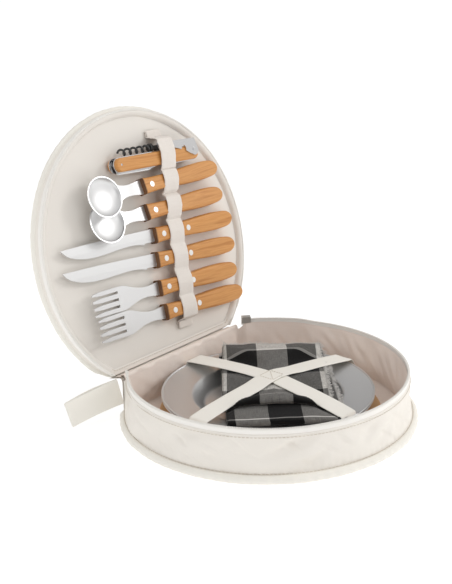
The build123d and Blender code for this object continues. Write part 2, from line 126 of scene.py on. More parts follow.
def studio():
    scene = bpy.context.scene
    scene.view_settings.view_transform = "Standard"
    scene.view_settings.look = "None"
    world = bpy.data.worlds.new("studio")
    scene.world = world
    world.use_nodes = True
    tree = Tree(world.node_tree)
    sky = tree.add("ShaderNodeTexCoord")
    # Light from overhead and a pale wall to the right; the room behind the object is dimmer.
    parts = tree.add("ShaderNodeSeparateXYZ")
    tree.link(sky, "Generated", parts, 0)
    glow = tree.ramp([
        (0.0, (0.45, 0.445, 0.44)), (0.48, (0.46, 0.455, 0.45)), (0.60, (0.56, 0.555, 0.55)),
        (0.78, (0.98, 0.975, 0.97)), (1, (1.12, 1.115, 1.11))
    ])
    tree.link(tree.math("MULTIPLY_ADD", (parts, "Z"), 0.5, 0.5), 0, glow, "Fac")
    light = (glow, "Color")
    for name, toward, stops in (
        (
            "wall", (0.70, -0.70, 0.10),
            [(0.0, (1, 1, 1)), (0.55, (1, 1, 1)), (0.88, (1.85, 1.84, 1.82)), (1, (1.98, 1.97, 1.95))]
        ),
        (
            "room", (0.76, 0.60, 0.24),
            [
                (0.0, (1, 1, 1)), (0.80, (1, 1, 1)), (0.86, (0.35, 0.35, 0.35)), (0.90, (1.1, 1.1, 1.1)),
                (0.93, (0.25, 0.25, 0.25)), (0.96, (1.0, 1.0, 1.0)), (0.98, (0.3, 0.3, 0.3)),
                (1, (0.85, 0.85, 0.85))
            ]
        ),
    ):
        facing = tree.add("ShaderNodeVectorMath", operation="DOT_PRODUCT", name=name)
        tree.link(sky, "Generated", facing, 0)
        facing.inputs[1].default_value = toward
        shade = tree.ramp([(at, tuple(c / 2 for c in colour)) for at, colour in stops])
        tree.link(facing, "Value", shade, "Fac")
        doubled = tree.mix(1.0, (shade, "Color"), (2, 2, 2, 1), "MULTIPLY")
        light = tree.mix(1.0, light, doubled, "MULTIPLY")
    back = tree.nodes["Background"]
    tree.link(light[0], light[1], back, "Color")
    back.inputs["Strength"].default_value = WORLD_STRENGTH
    area("key", (1.0, -0.85, 0.85), (0, 0.06, 0.08), (0.4, 0.4), 4.3)
    area("left", (-1.15, 0.35, 0.80), (0, 0, 0.05), (0.6, 0.6), 2.6)
    area("front", (-0.15, -1.20, 0.62), (0, 0.10, 0.05), (0.5, 0.5), 1.2)
    mesh = bpy.data.meshes.new("floor")
    corners = [(x * FLOOR_HALF, y * FLOOR_HALF, 0) for x, y in ((-1, -1), (1, -1), (1, 1), (-1, 1))]
    mesh.from_pydata(corners, [], [(0, 1, 2, 3)])
    floor = bpy.data.objects.new("floor", mesh)
    scene.collection.objects.link(floor)
    floor.location.z = -FLOOR_DROP
    tree, shader = material("floor_paper")
    tree.set(shader, **{"Base Color": (0.62, 0.62, 0.62, 1), "Roughness": 0.8, "Specular IOR Level": 0.15})
    tree.set(shader, **{"Emission Color": (1, 1, 1, 1), "Emission Strength": 0.60})
    mesh.materials.append(bpy.data.materials["floor_paper"])


# ---------------------------------------------------------------- node trees
class Tree:
    """Shorthand for building a node tree."""

    def __init__(self, tree):
        self.tree, self.nodes = tree, tree.nodes

    def add(self, kind, **values):
        node = self.nodes.new(kind)
        for key, value in values.items():
            setattr(node, key, value)
        return node

    def link(self, a, out, b, into):
        self.tree.links.new(a.outputs[out], b.inputs[into])

    def set(self, node, **values):
        for key, value in values.items():
            node.inputs[key].default_value = value

    def feed(self, node, index, value):
        if isinstance(value, tuple) and isinstance(value[0], bpy.types.Node):
            self.link(value[0], value[1], node, index)
        elif isinstance(value, bpy.types.Node):
            self.link(value, 0, node, index)
        else:
            node.inputs[index].default_value = value

    def math(self, kind, *values):
        node = self.add("ShaderNodeMath", operation=kind)
        for i, value in enumerate(values):
            self.feed(node, i, value)
        return node

    def mix(self, factor, a, b, kind="MIX"):
        node = self.add("ShaderNodeMix", data_type="RGBA", blend_type=kind)
        self.feed(node, 0, factor)
        self.feed(node, 6, a)
        self.feed(node, 7, b)
        return (node, 2)

    def ramp(self, stops):
        node = self.add("ShaderNodeValToRGB")
        elements = node.color_ramp.elements
        while len(elements) < len(stops):
            elements.new(0.5)
        for element, (at, colour) in zip(elements, stops):
            element.position = at
            element.color = (*colour, 1)
        return node

    def noise(self, vector, scale, detail=3, rough=0.55, stretch=None):
        if stretch:
            mapping = self.add("ShaderNodeMapping")
            mapping.inputs["Scale"].default_value = stretch
            self.feed(mapping, 0, vector)
            vector = mapping
        node = self.add("ShaderNodeTexNoise")
        self.feed(node, 0, vector)
        self.set(node, Scale=scale, Detail=detail, Roughness=rough)
        return node

    def bump(self, height, strength, distance, normal=None):
        node = self.add("ShaderNodeBump")
        self.feed(node, "Height", height)
        self.set(node, Strength=strength, Distance=distance)
        if normal:
            self.link(normal, 0, node, "Normal")
        return node


def material(name):
    mat = bpy.data.materials.new(name)
    mat.use_nodes = True
    tree = Tree(mat.node_tree)
    return tree, tree.nodes["Principled BSDF"]


def srgb(r, g, b):
    """A linear colour from eight-bit values."""
    def one(c):
        c /= 255
        return c / 12.92 if c <= 0.04045 else ((c + 0.055) / 1.055) ** 2.4
    return (one(r), one(g), one(b), 1)


def fabric(name, colour, thread=0.0008, mottle=0.05, depth=0.6, sheen=0.15, twill=False):
    """Plain weave or twill from the surface's own metre-scale UVs, with slubs and soft mottling."""
    tree, shader = material(name)
    uv = tree.add("ShaderNodeUVMap")
    parts = tree.add("ShaderNodeSeparateXYZ")
    tree.link(uv, 0, parts, 0)
    turns = 2 * math.pi / (2 * thread)
    across = tree.math("MULTIPLY", (parts, "X"), turns)
    along = tree.math("MULTIPLY", (parts, "Y"), turns)
    if twill:
        diagonal = tree.math("ADD", across, along)
        weave = tree.math(
            "ADD", tree.math("SINE", diagonal), tree.math("MULTIPLY", tree.math("SINE", across), 0.4)
        )
    else:
        weave = tree.math("MULTIPLY", tree.math("SINE", across), tree.math("SINE", along))
    slub_u = tree.noise(uv, 1.0, 2, 0.5, (60, 1400, 1))
    slub_v = tree.noise(uv, 1.0, 2, 0.5, (1400, 60, 1))
    slubs = tree.math("ADD", slub_u, slub_v)
    height = tree.math("ADD", tree.math("MULTIPLY", weave, 0.5), slubs)
    cloud = tree.noise(uv, 28, 4, 0.6)
    dark = tuple(c * (1 - 2.2 * mottle) for c in colour[:3]) + (1,)
    light = tuple(min(1, c * (1 + mottle)) for c in colour[:3]) + (1,)
    base = tree.mix((cloud, 0), dark, light)
    specks = tree.math("MULTIPLY_ADD", slubs, 0.9, -0.4)
    tint = tree.mix(specks, tuple(c * 0.93 for c in colour[:3]) + (1,), (1, 1, 1, 1))
    mixed = tree.mix(0.25, base, tint, "MULTIPLY")
    tree.link(mixed[0], mixed[1], shader, "Base Color")
    tree.set(shader, Roughness=0.88)
    tree.set(shader, **{"Sheen Weight": sheen, "Sheen Roughness": 0.5, "Specular IOR Level": 0.25})
    folds = tree.bump(cloud, 0.25, 0.0012)
    fine = tree.bump(height, depth, 0.00022, folds)
    tree.link(fine, 0, shader, "Normal")
    return bpy.data.materials[name]


def gingham(name, check):
    """Woven black and white check: black, half-and-half and white squares, thread by thread."""
    tree, shader = material(name)
    uv = tree.add("ShaderNodeUVMap")
    parts = tree.add("ShaderNodeSeparateXYZ")
    tree.link(uv, 0, parts, 0)
    stripes = []
    for axis, size, shift in (("X", check[0], check[2]), ("Y", check[1], check[3])):
        place_ = tree.math("ADD", (parts, axis), shift)
        wave = tree.math("SINE", tree.math("MULTIPLY", place_, math.pi / size))
        stripes.append(tree.math("GREATER_THAN", wave, 0))
    thread = math.pi / 0.00045
    wave_u = tree.math("SINE", tree.math("MULTIPLY", (parts, "X"), thread))
    wave_v = tree.math("SINE", tree.math("MULTIPLY", (parts, "Y"), thread))
    over = tree.math("GREATER_THAN", tree.math("MULTIPLY", wave_u, wave_v), 0.0)
    streak = tree.noise(uv, 1.0, 3, 0.7, (2400, 120, 1))
    streak_v = tree.noise(uv, 1.0, 3, 0.7, (120, 2400, 1))
    black, white = srgb(12, 11, 11), srgb(206, 203, 198)
    yarn_u = tree.mix(stripes[0], white, black)
    yarn_v = tree.mix(stripes[1], white, black)
    both = tree.math("MULTIPLY", stripes[0], stripes[1])
    woven = tree.mix(tree.math("MULTIPLY_ADD", over, 0.30, 0.26), yarn_u, yarn_v)
    soft = tree.math("MULTIPLY", tree.math("SUBTRACT", 1.0, both), 0.5)
    streaks = tree.math("ADD", tree.math("MULTIPLY", streak, 0.9), tree.math("MULTIPLY", streak_v, 0.9))
    sharp = tree.math("MULTIPLY_ADD", streaks, 2.4, -1.70)
    sharp.use_clamp = True
    worn = tree.mix(soft, (1, 1, 1, 1), tree.mix(sharp, (0.10, 0.10, 0.10, 1), (1.30, 1.29, 1.27, 1)))
    colour = tree.mix(1.0, woven, worn, "MULTIPLY")
    uneven = tree.math("ABSOLUTE", tree.math("SUBTRACT", stripes[0], stripes[1]))
    colour = tree.mix(tree.math("MULTIPLY", uneven, 0.5), colour, black)
    # A bright pair of threads beside the hem, and a bright line along the crest of the front fold that is
    # partly white threads and partly a painted highlight on the crest.
    for middle, half in ((0.1485, 0.0008), (0.2540, 0.0015)):
        line = tree.math("COMPARE", (parts, "Y"), middle, half)
        strength = tree.math("MULTIPLY", line, tree.math("MULTIPLY_ADD", stripes[0], -0.55, 0.85))
        colour = tree.mix(strength, colour, srgb(222, 219, 214))
    tree.link(colour[0], colour[1], shader, "Base Color")
    tree.set(shader, Roughness=0.92)
    tree.set(shader, **{"Sheen Weight": 0.08, "Specular IOR Level": 0.15})
    height = tree.math("ADD", over, tree.math("MULTIPLY", streaks, 0.7))
    tree.link(tree.bump(height, 0.6, 0.0002), 0, shader, "Normal")
    return bpy.data.materials[name]


def wood(name, frame_of, light, dark, end_shade=None, seed=0.0):
    """Grain that runs along the piece's own x axis, with an optional span of x over which painted shade
    darkens the front end face.
    """
    tree, shader = material(name)
    coord = tree.add("ShaderNodeTexCoord")
    mapping = tree.add("ShaderNodeMapping")
    inverse = frame_of.inverted()
    mapping.inputs["Location"].default_value = inverse.to_translation()
    mapping.inputs["Rotation"].default_value = inverse.to_euler("XYZ")
    tree.link(coord, "Object", mapping, 0)
    shifted = tree.add("ShaderNodeVectorMath", operation="ADD")
    tree.link(mapping, 0, shifted, 0)
    shifted.inputs[1].default_value = (seed, seed * 0.7, seed * 0.31)
    warp = tree.noise(shifted, 1.0, 3, 0.5, (9, 60, 60))
    bent = tree.add("ShaderNodeMix", data_type="VECTOR")
    tree.set(bent, **{"Factor": 0.012})
    tree.link(shifted, 0, bent, 4)
    tree.link(warp, "Color", bent, 5)
    rings = tree.noise((bent, 1), 1.0, 2, 0.5, (14, 330, 210))
    pores = tree.noise((bent, 1), 1.0, 4, 0.75, (60, 2600, 2600))
    broad = tree.noise(shifted, 1.0, 2, 0.5, (10, 45, 45))
    grain = tree.ramp([
        (0.28, dark[:3]), (0.46, light[:3]),
        (0.6, tuple(0.5 * (a + b) for a, b in zip(light[:3], dark[:3]))), (0.72, light[:3])
    ])
    tree.link(rings, 0, grain, "Fac")
    fibres = tree.mix(
        tree.math("MULTIPLY_ADD", pores, 1.8, -0.45), tuple(c * 0.62 for c in dark[:3]) + (1,), (1, 1, 1, 1)
    )
    colour = tree.mix(0.22, (grain, 0), fibres, "MULTIPLY")
    cloud = tree.mix((broad, 0), (0.80, 0.76, 0.72, 1), (1.16, 1.14, 1.1, 1))
    colour = tree.mix(0.8, colour, cloud, "MULTIPLY")
    # Painted shade: the handle's front end face, on the shadow side, darkens towards dark brown.
    if end_shade:
        parts = tree.add("ShaderNodeSeparateXYZ")
        tree.link(mapping, 0, parts, 0)
        edge = tree.add("ShaderNodeMapRange")
        tree.link(parts, "X", edge, 0)
        tree.set(edge, **{"From Min": end_shade[0], "From Max": end_shade[1]})
        end_shade_share = tree.math("MULTIPLY", edge, tree.math("MULTIPLY_ADD", broad, 0.5, 0.6))
        colour = tree.mix(end_shade_share, colour, srgb(66, 36, 20))
    tree.link(colour[0], colour[1], shader, "Base Color")
    rough = tree.add("ShaderNodeMapRange")
    tree.link(pores, 0, rough, 0)
    tree.set(rough, **{"To Min": 0.42, "To Max": 0.62})
    tree.link(rough, 0, shader, "Roughness")
    tree.set(shader, **{"Specular IOR Level": 0.4, "Coat Weight": 0.12, "Coat Roughness": 0.35})
    tree.link(tree.bump(pores, 0.22, 0.00025, tree.bump(rings, 0.12, 0.0004)), 0, shader, "Normal")
    return bpy.data.materials[name]


def metal(name, colour, rough, brush=None, depth=0.05, smudge=0.06):
    """Polished or brushed metal with faint smudges; brush stretches its marks along an axis."""
    tree, shader = material(name)
    coord = tree.add("ShaderNodeTexCoord")
    marks = tree.noise((coord, "Object"), 1.0, 4, 0.7, brush or (700, 700, 700))
    smears = tree.noise((coord, "Object"), 38, 3, 0.6)
    spread = tree.add("ShaderNodeMapRange")
    tree.link(smears, 0, spread, 0)
    tree.set(spread, **{"From Min": 0.3, "From Max": 0.75, "To Min": rough, "To Max": rough + smudge})
    fine = tree.math("MULTIPLY_ADD", marks, smudge, (spread, 0))
    tree.link(fine, 0, shader, "Roughness")
    tint = tree.mix((smears, 0), tuple(c * 0.95 for c in colour[:3]) + (1,), colour)
    tree.link(tint[0], tint[1], shader, "Base Color")
    tree.set(shader, Metallic=1.0)
    tree.link(tree.bump(marks, depth, 0.00012), 0, shader, "Normal")
    return bpy.data.materials[name]


def plate_steel(name):
    """Mirror-polished spun steel whose colour holds painted reflections and highlights: a bright rim, a dark
    well, and a fan of painted highlights round it.
    """
    tree, shader = material(name)
    coord = tree.add("ShaderNodeTexCoord")
    parts = tree.add("ShaderNodeSeparateXYZ")
    tree.link(coord, "Object", parts, 0)
    squares = [tree.math("MULTIPLY", (parts, axis), (parts, axis)) for axis in "XY"]
    radius = tree.math("SQRT", tree.math("ADD", *squares))
    angle = tree.math("ARCTAN2", (parts, "Y"), (parts, "X"))
    # Painted highlights: brightness that sweeps round the plate by angle, standing in for the conic
    # highlights of polished steel.
    highlight_fan = tree.math("SINE", tree.math("MULTIPLY_ADD", angle, 3.0, 0.6))
    highlight_fan_fine = tree.math("SINE", tree.math("MULTIPLY_ADD", angle, 7.0, 2.1))
    painted_highlight_rays = tree.math("MULTIPLY_ADD", highlight_fan, 0.20, tree.math("MULTIPLY_ADD", highlight_fan_fine, 0.10, 0.66))
    # Painted reflections: by radius, a dark well and bright rings at the rim bead and rim.
    rings = tree.ramp([
        (0.0, (0.55, 0.54, 0.53)), (0.56, (0.50, 0.49, 0.48)), (0.60, (0.12, 0.115, 0.11)),
        (0.66, (0.20, 0.19, 0.185)), (0.70, (0.95, 0.94, 0.93)), (0.735, (0.32, 0.31, 0.30)),
        (0.80, (0.85, 0.84, 0.83)), (0.93, (0.95, 0.94, 0.93)), (0.955, (0.25, 0.24, 0.23)),
        (0.975, (1, 1, 1))
    ])
    tree.link(tree.math("MULTIPLY", radius, 10.0), 0, rings, "Fac")
    # Painted reflection and highlights: the fan blends a dark reflected colour into the painted rings.
    tint = tree.mix(painted_highlight_rays, srgb(60, 57, 55), (rings, "Color"))
    tree.link(tint[0], tint[1], shader, "Base Color")
    smears = tree.noise((coord, "Object"), 38, 3, 0.6)
    tree.link(tree.math("MULTIPLY_ADD", smears, 0.05, 0.03), 0, shader, "Roughness")
    marks = tree.noise((coord, "Object"), 1.0, 4, 0.7, (160, 160, 900))
    tree.link(tree.bump(marks, 0.02, 0.00012), 0, shader, "Normal")
    tree.set(shader, Metallic=1.0)
    return bpy.data.materials[name]


# ---------------------------------------------------------------- meshes
def wave(point, scale, seed=0.0):
    """Smooth noise from about -1 to 1."""
    return noise.noise(
        Vector((
            point[0] * scale + seed, point[1] * scale - seed,
            (point[2] if len(point) > 2 else 0) * scale + 2 * seed
        ))
    )


def finish_mesh(name, points, faces, uvs, mat, smooth=True):
    mesh = bpy.data.meshes.new(name)
    mesh.from_pydata([tuple(p) for p in points], [], faces)
    if uvs is not None:
        layer = mesh.uv_layers.new(name="UVMap")
        flat = np.empty(len(mesh.loops) * 2)
        index = 0
        for face_uv in uvs:
            for u, v in face_uv:
                flat[index], flat[index + 1] = u, v
                index += 2
        layer.data.foreach_set("uv", flat)
    mesh.materials.append(mat)
    mesh.polygons.foreach_set("use_smooth", [smooth] * len(mesh.polygons))
    mesh.update()
    obj = bpy.data.objects.new(name, mesh)
    bpy.context.scene.collection.objects.link(obj)
    return obj


def grid(name, rows, mat, close_rows=False, close_columns=False, flip=False):
    """A quad mesh from an n x m table of points, with UVs in metres."""
    rows = np.asarray(rows, float)
    n, m = rows.shape[:2]
    steps_n = np.linalg.norm(np.roll(rows, -1, 0) - rows, axis=2).mean(1)
    steps_m = np.linalg.norm(np.roll(rows, -1, 1) - rows, axis=2).mean(0)
    v = np.concatenate([[0], np.cumsum(steps_n)])
    u = np.concatenate([[0], np.cumsum(steps_m)])
    faces, uvs = [], []
    for i in range(n if close_rows else n - 1):
        for j in range(m if close_columns else m - 1):
            a, b = i * m + j, i * m + (j + 1) % m
            c, d = ((i + 1) % n) * m + (j + 1) % m, ((i + 1) % n) * m + j
            quad, quad_uv = (a, b, c, d), (
                (u[j], v[i]), (u[j + 1], v[i]), (u[j + 1], v[i + 1]), (u[j], v[i + 1])
            )
            faces.append(quad[::-1] if flip else quad)
            uvs.append(quad_uv[::-1] if flip else quad_uv)
    return finish_mesh(name, rows.reshape(-1, 3), faces, uvs, mat)


def run_along(points):
    """Distance from the first point to each point."""
    return np.concatenate([[0], np.cumsum(np.linalg.norm(np.diff(points, axis=0), axis=1))])


def point_at(distance, lengths, table):
    """The table's row at a distance along its path, between its own rows."""
    return np.array([np.interp(distance, lengths, table[:, k]) for k in range(3)])


def d_path(radius, count, corner=0.012, closed=True):
    """Equal steps round the case: right hinge corner, front, left hinge corner, then back.
    Returns points, outward normals and distances along the path."""
    xc = math.sqrt((radius - corner) ** 2 - (BACK - corner) ** 2)
    points = []
    start = math.atan2(BACK - corner, xc)
    for a in np.linspace(math.pi / 2, start, 40):
        points.append((xc + corner * math.cos(a), BACK - corner + corner * math.sin(a)))
    for a in np.linspace(start, -math.pi - start, 1200)[1:]:
        points.append((radius * math.cos(a), radius * math.sin(a)))
    for a in np.linspace(math.pi - start, math.pi / 2, 40)[1:]:
        points.append((-xc + corner * math.cos(a), BACK - corner + corner * math.sin(a)))
    if closed:
        for x in np.linspace(-xc, xc, 300)[1:]:
            points.append((x, BACK))
    points = np.array(points)
    lengths = run_along(points)
    at = np.linspace(0, lengths[-1], count + 1)[:-1] if closed else np.linspace(0, lengths[-1], count)
    path = np.stack([np.interp(at, lengths, points[:, k]) for k in (0, 1)], 1)
    if closed:
        ahead, behind = np.roll(path, -1, 0), np.roll(path, 1, 0)
    else:
        ahead, behind = np.vstack([
            path[1:], 2 * path[-1] - path[-2]
        ]), np.vstack([2 * path[0] - path[1], path[:-1]])
    tangent = ahead - behind
    tangent /= np.linalg.norm(tangent, axis=1)[:, None]
    normal = np.stack([-tangent[:, 1], tangent[:, 0]], 1)
    normal[(normal * path).sum(1) < 0] *= -1
    return path, normal, at


def ease(x, low, high):
    t = min(1.0, max(0.0, (x - low) / (high - low)))
    return t * t * (3 - 2 * t)


def open_path(end):
    """Points and outward normals from y = end, round the front, to y = end again."""
    path, normal, _ = d_path(RADIUS, 760, closed=False)
    keep = path[:, 1] < end
    return path[keep], normal[keep]


def near_back(y):
    """0 round the case, rising to 1 along its straight back."""
    return ease(y, 0.0985, 0.1035)


def to_lid(point):
    """Lid coordinates: along the hinge, up the lid, out of its lining."""
    return LID @ Vector(point)


def sweep(name, path, normal, profile, mat, place_point=None, close=True, flip=False):
    """Carries profile(index, x, y) -> [(offset, height)] round a path."""
    rows = []
    for i, ((x, y), (nx, ny)) in enumerate(zip(path, normal)):
        row = [(x + nx * out, y + ny * out, z) for out, z in profile(i, x, y)]
        rows.append([place_point(p) for p in row] if place_point else row)
    return grid(name, rows, mat, close_rows=close, flip=flip)


def disc(name, loop, rings, height, mat, flip=False):
    """Rings shrinking from a loop of (x, y) points to MIDDLE; height(x, y) lifts each point."""
    loop = np.asarray(loop)
    n = len(loop)
    points, faces = [], []
    for k in range(rings):
        share = 1 - k / rings
        points += [
            (MIDDLE[0] + (x - MIDDLE[0]) * share, MIDDLE[1] + (y - MIDDLE[1]) * share)
            for x, y in loop
        ]
    points.append(MIDDLE)
    for k in range(rings - 1):
        for i in range(n):
            j = (i + 1) % n
            faces.append((k * n + i, k * n + j, (k + 1) * n + j, (k + 1) * n + i))
    last = (rings - 1) * n
    faces += [(last + i, last + (i + 1) % n, len(points) - 1) for i in range(n)]
    if flip:
        faces = [f[::-1] for f in faces]
    uvs = [[points[i] for i in f] for f in faces]
    return finish_mesh(name, [height(x, y) for x, y in points], faces, uvs, mat)


def ribbon(name, line, sides, width, thickness, mat):
    """A flat woven band: centre line, side direction at each point, width, thickness."""
    line, sides = np.asarray(line, float), np.asarray(sides, float)
    ahead = np.gradient(line, axis=0)
    ahead /= np.linalg.norm(ahead, axis=1)[:, None]
    sides = sides - (sides * ahead).sum(1)[:, None] * ahead
    sides /= np.linalg.norm(sides, axis=1)[:, None]
    up = np.cross(ahead, sides)
    widths = width if hasattr(width, "__len__") else [width] * len(line)
    rows = []
    across = [-0.5, -0.47, -0.38, -0.2, 0, 0.2, 0.38, 0.47, 0.5]
    for p, s, n, w in zip(line, sides, up, widths):
        top = [p + s * w * a + n * thickness * (0.5 if abs(a) < 0.49 else 0.15) for a in across]
        low = [p + s * w * a - n * thickness * (0.5 if abs(a) < 0.49 else 0.15) for a in reversed(across)]
        rows.append(top + low)
    return grid(name, rows, mat, close_columns=True)


def tube_faces(base, lengths, sides):
    """The quads of a tube whose rings of points follow each other from base."""
    faces = []
    for ring in range(lengths):
        low = base + sides * ring
        for k in range(sides):
            ahead = (k + 1) % sides
            faces.append((low + k, low + ahead, low + sides + ahead, low + sides + k))
    return faces


def stitches(name, points, ups, length, gap, radius, mat):
    """A sewn line: short raised threads laid end to end along a path."""
    points, ups = np.asarray(points, float), np.asarray(ups, float)
    lengths = run_along(points)
    verts, faces = [], []
    at = gap
    while at + length < lengths[-1]:
        centres = [point_at(at + length * t, lengths, points) for t in (0, 0.2, 0.5, 0.8, 1)]
        up = point_at(at, lengths, ups)
        ahead = centres[-1] - centres[0]
        ahead /= max(np.linalg.norm(ahead), 1e-9)
        side = np.cross(ahead, up)
        side /= max(np.linalg.norm(side), 1e-9)
        base = len(verts)
        for centre, lift in zip(centres, (-0.9, 0.25, 0.45, 0.25, -0.9)):
            for k in range(5):
                a = 2 * math.pi * k / 5
                verts.append(
                    centre + up * (radius * (lift + math.sin(a))) + side * radius * 1.25 * math.cos(a)
                )
        faces += tube_faces(base, 4, 5)
        faces.append(tuple(base + k for k in range(4, -1, -1)))
        faces.append(tuple(base + 20 + k for k in range(5)))
        at += length + gap
    return finish_mesh(name, verts, faces, None, mat)


def teeth(name, points, ups, outs, pitch, size, mat):
    """A coil zip's teeth: small rounded blocks across the tape's edge."""
    points, ups, outs = (np.asarray(a, float) for a in (points, ups, outs))
    lengths = run_along(points)
    verts, faces = [], []
    for at in np.arange(pitch / 2, lengths[-1], pitch):
        p, up, out = (point_at(at, lengths, table) for table in (points, ups, outs))
        ahead = np.cross(up, out)
        ahead /= np.linalg.norm(ahead)
        base = len(verts)
        for along in (-0.5, 0.5):
            for o, h in ((-0.5, -0.5), (-0.5, 0.2), (-0.25, 0.5), (0.25, 0.5), (0.5, 0.2), (0.5, -0.5)):
                verts.append(p + ahead * (along * size[0]) + out * (o * size[1]) + up * (h * size[2]))
        faces += tube_faces(base, 1, 6)
        faces += [tuple(base + k for k in range(5, -1, -1)), tuple(base + 6 + k for k in range(6))]
    return finish_mesh(name, verts, faces, None, mat, smooth=False)


# ---------------------------------------------------------------- materials
def make_materials():
    return {
        "canvas": fabric("canvas", srgb(186, 178, 167), 0.0008, 0.07, 0.7),
        "canvas_binding": fabric("canvas_binding", srgb(198, 192, 184), 0.0007, 0.04, 0.6),
        "lining": fabric("lining", srgb(209, 201, 193), 0.0006, 0.05, 0.45),
        "inner": fabric("base_lining_cotton", srgb(244, 232, 223), 0.0006, 0.06, 0.45),
        "zip_tape": fabric("zip_tape", srgb(214, 209, 202), 0.0005, 0.02, 0.6, twill=True),
        "loop_tape": fabric("loop_tape", srgb(238, 231, 224), 0.0009, 0.03, 0.8, twill=True),
        "webbing": fabric("webbing", srgb(216, 210, 201), 0.0011, 0.03, 0.9, twill=True),
        "thread": fabric("thread", srgb(214, 205, 192), 0.0003, 0.03, 0.3),
        "gingham": gingham("napkin_gingham", (0.029, 0.040, -0.005, 0.025)),
        "fringe": fabric("napkin_fringe", srgb(226, 223, 219), 0.0003, 0.1, 0.4),
        "zip_teeth": metal("zip_teeth", srgb(214, 211, 206), 0.42),
        "zip_metal": metal("zip_metal", srgb(238, 236, 232), 0.34),
        "plate_steel": plate_steel("plate_steel"),
        "cutlery_steel": metal("cutlery_steel", srgb(236, 234, 232), 0.16, None, 0.03, 0.05),
        "rivet_steel": metal("rivet_steel", srgb(240, 236, 226), 0.2),
        "chrome": metal("corkscrew_chrome", srgb(225, 226, 229), 0.1),
        "black_steel": metal("black_steel", srgb(48, 48, 50), 0.22),
    }


# ---------------------------------------------------------------- base of the case
def beside_fork(x, y):
    """1 where the shut lid lets down the end of the last fork's handle, and 0 elsewhere."""
    return ease(0.045 - math.hypot(x - FORK_END[0], y - FORK_END[1]), 0.0, 0.025)


def wall_lean(x, y):
    """How far the rim leans in. The wall stands straight beside the fork's handle."""
    return WALL_LEAN * (1 - beside_fork(x, y))


def wall_offset(x, y, z):
    return -0.0003 - wall_lean(x, y) * ease(z, 0.004, 0.046)


def rim_height(y):
    """Top of the canvas wall: level round the front, lower at the fold."""
    return 0.0417 - 0.0072 * ease(y, 0.097, 0.1035)


